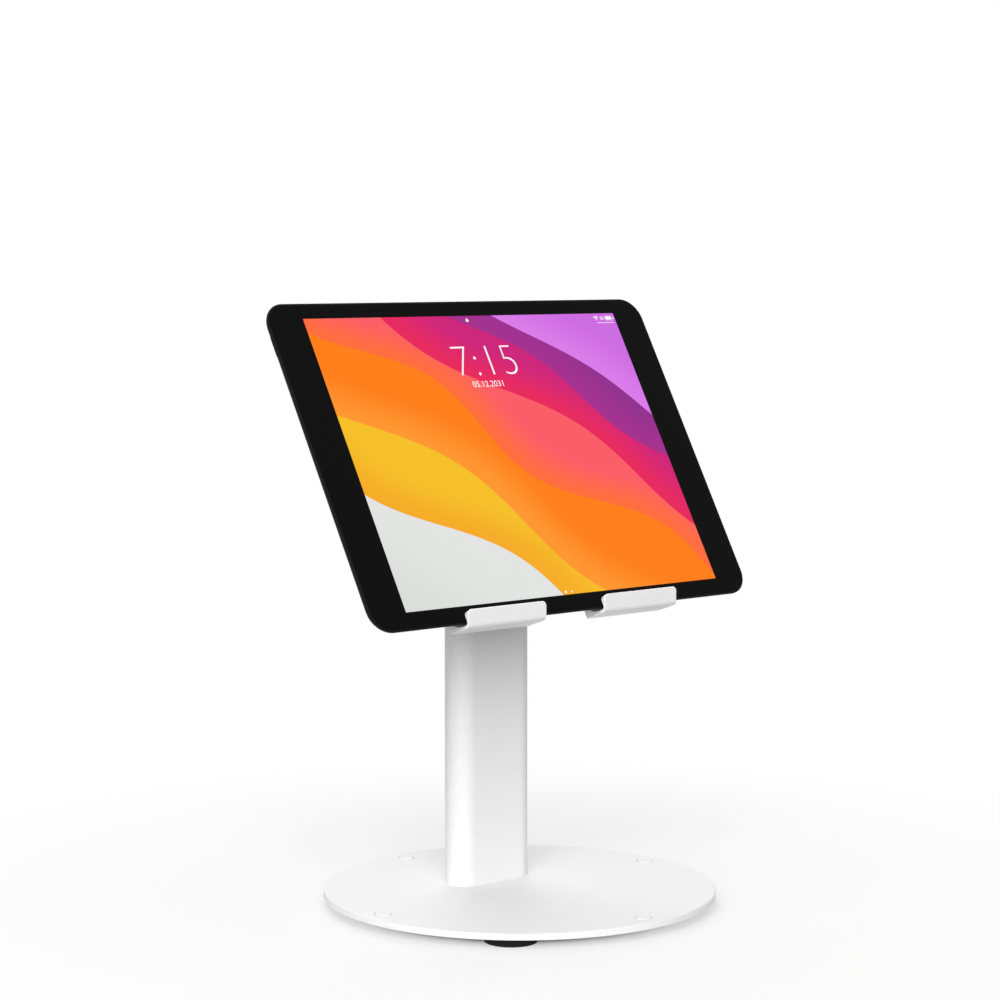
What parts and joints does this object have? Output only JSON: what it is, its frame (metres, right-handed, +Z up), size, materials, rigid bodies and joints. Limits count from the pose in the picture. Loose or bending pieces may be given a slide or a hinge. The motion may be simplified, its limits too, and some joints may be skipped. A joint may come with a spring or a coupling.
{
  "type": "magnetic tablet stand",
  "caption": "Round weighted base with a flat-sided post and a tilting cradle whose hooks and magnets hold a removable touch-screen tablet.",
  "frame": {"origin": "centre of the round base plate, on the surface the feet stand on", "axes": "+Z up; the display faces -Y and leans back; +X is the display's right seen from its front"},
  "size_m": [0.2503, 0.198, 0.3029],
  "materials": {
    "white_coated_steel": "satin powder coat",
    "white_coated_post": "fine textured powder coat",
    "white_coated_head": "satin powder coat",
    "white_plastic": "satin",
    "black_rubber": "matte",
    "zinc_steel": "zinc plated",
    "bearing_plastic": "smooth",
    "nickel_magnet": "nickel plated",
    "keeper_steel": "matte coated",
    "grey_aluminium": "bead blasted and anodised",
    "front_glass": "polished, printed black behind",
    "display_layers": "smooth",
    "cell_foil": "dull foil",
    "board_laminate": "satin",
    "black_plastic": "satin",
    "port_steel": "plain",
    "camera_black": "polished"
  },
  "bodies": {
    "stand": {"base_plate": "white_coated_steel", "hole_caps": "white_plastic", "rubber_feet": "black_rubber", "post": "white_coated_post", "post_screws": "zinc_steel", "hinge_block": "white_coated_post", "block_screws": "zinc_steel", "pivot_bushing": "bearing_plastic"},
    "head": {"friction_washers": "bearing_plastic", "pivot_bolt": "zinc_steel", "disc_springs": "zinc_steel", "plain_washer": "zinc_steel", "pivot_nut": "zinc_steel", "hinge_bracket": "white_coated_head", "bracket_screws": "zinc_steel", "cradle_plate": "white_coated_head", "magnet_tray": "white_plastic", "magnets": "nickel_magnet"},
    "tablet": {"keeper_plate": "keeper_steel", "tablet_shell": "grey_aluminium", "cover_glass": "front_glass", "display_panel": "display_layers", "battery_cells": "cell_foil", "logic_board": "board_laminate", "board_screws": "zinc_steel", "speakers": "black_plastic", "charge_port": "port_steel", "rear_camera": "camera_black", "front_camera": "black_plastic", "button_switches": "black_plastic"},
    "power_button": {"power_button": "grey_aluminium"},
    "volume_up_button": {"volume_up_button": "grey_aluminium"},
    "volume_down_button": {"volume_down_button": "grey_aluminium"}
  },
  "joints": [
    {"name": "tilt", "type": "hinge", "parent": "stand", "child": "head", "pos_m": [0, 0.0253, 0.211], "axis": [-1, 0, 0], "range_deg": [-24, 45]},
    {"name": "tablet_lift", "type": "slide", "parent": "head", "child": "tablet", "axis": [0, 0.4955, 0.8686], "range_m": [0, 0.19]},
    {"name": "power_press", "type": "slide", "parent": "tablet", "child": "power_button", "axis": [1, 0, 0], "range_m": [0, 0.0003], "stiffness_N_per_m": 1500, "springref_m": -0.0004},
    {"name": "volume_up_press", "type": "slide", "parent": "tablet", "child": "volume_up_button", "axis": [0, -0.4955, -0.8686], "range_m": [0, 0.0003], "stiffness_N_per_m": 1500, "springref_m": -0.0004},
    {"name": "volume_down_press", "type": "slide", "parent": "tablet", "child": "volume_down_button", "axis": [0, -0.4955, -0.8686], "range_m": [0, 0.0003], "stiffness_N_per_m": 1500, "springref_m": -0.0004}
  ]
}
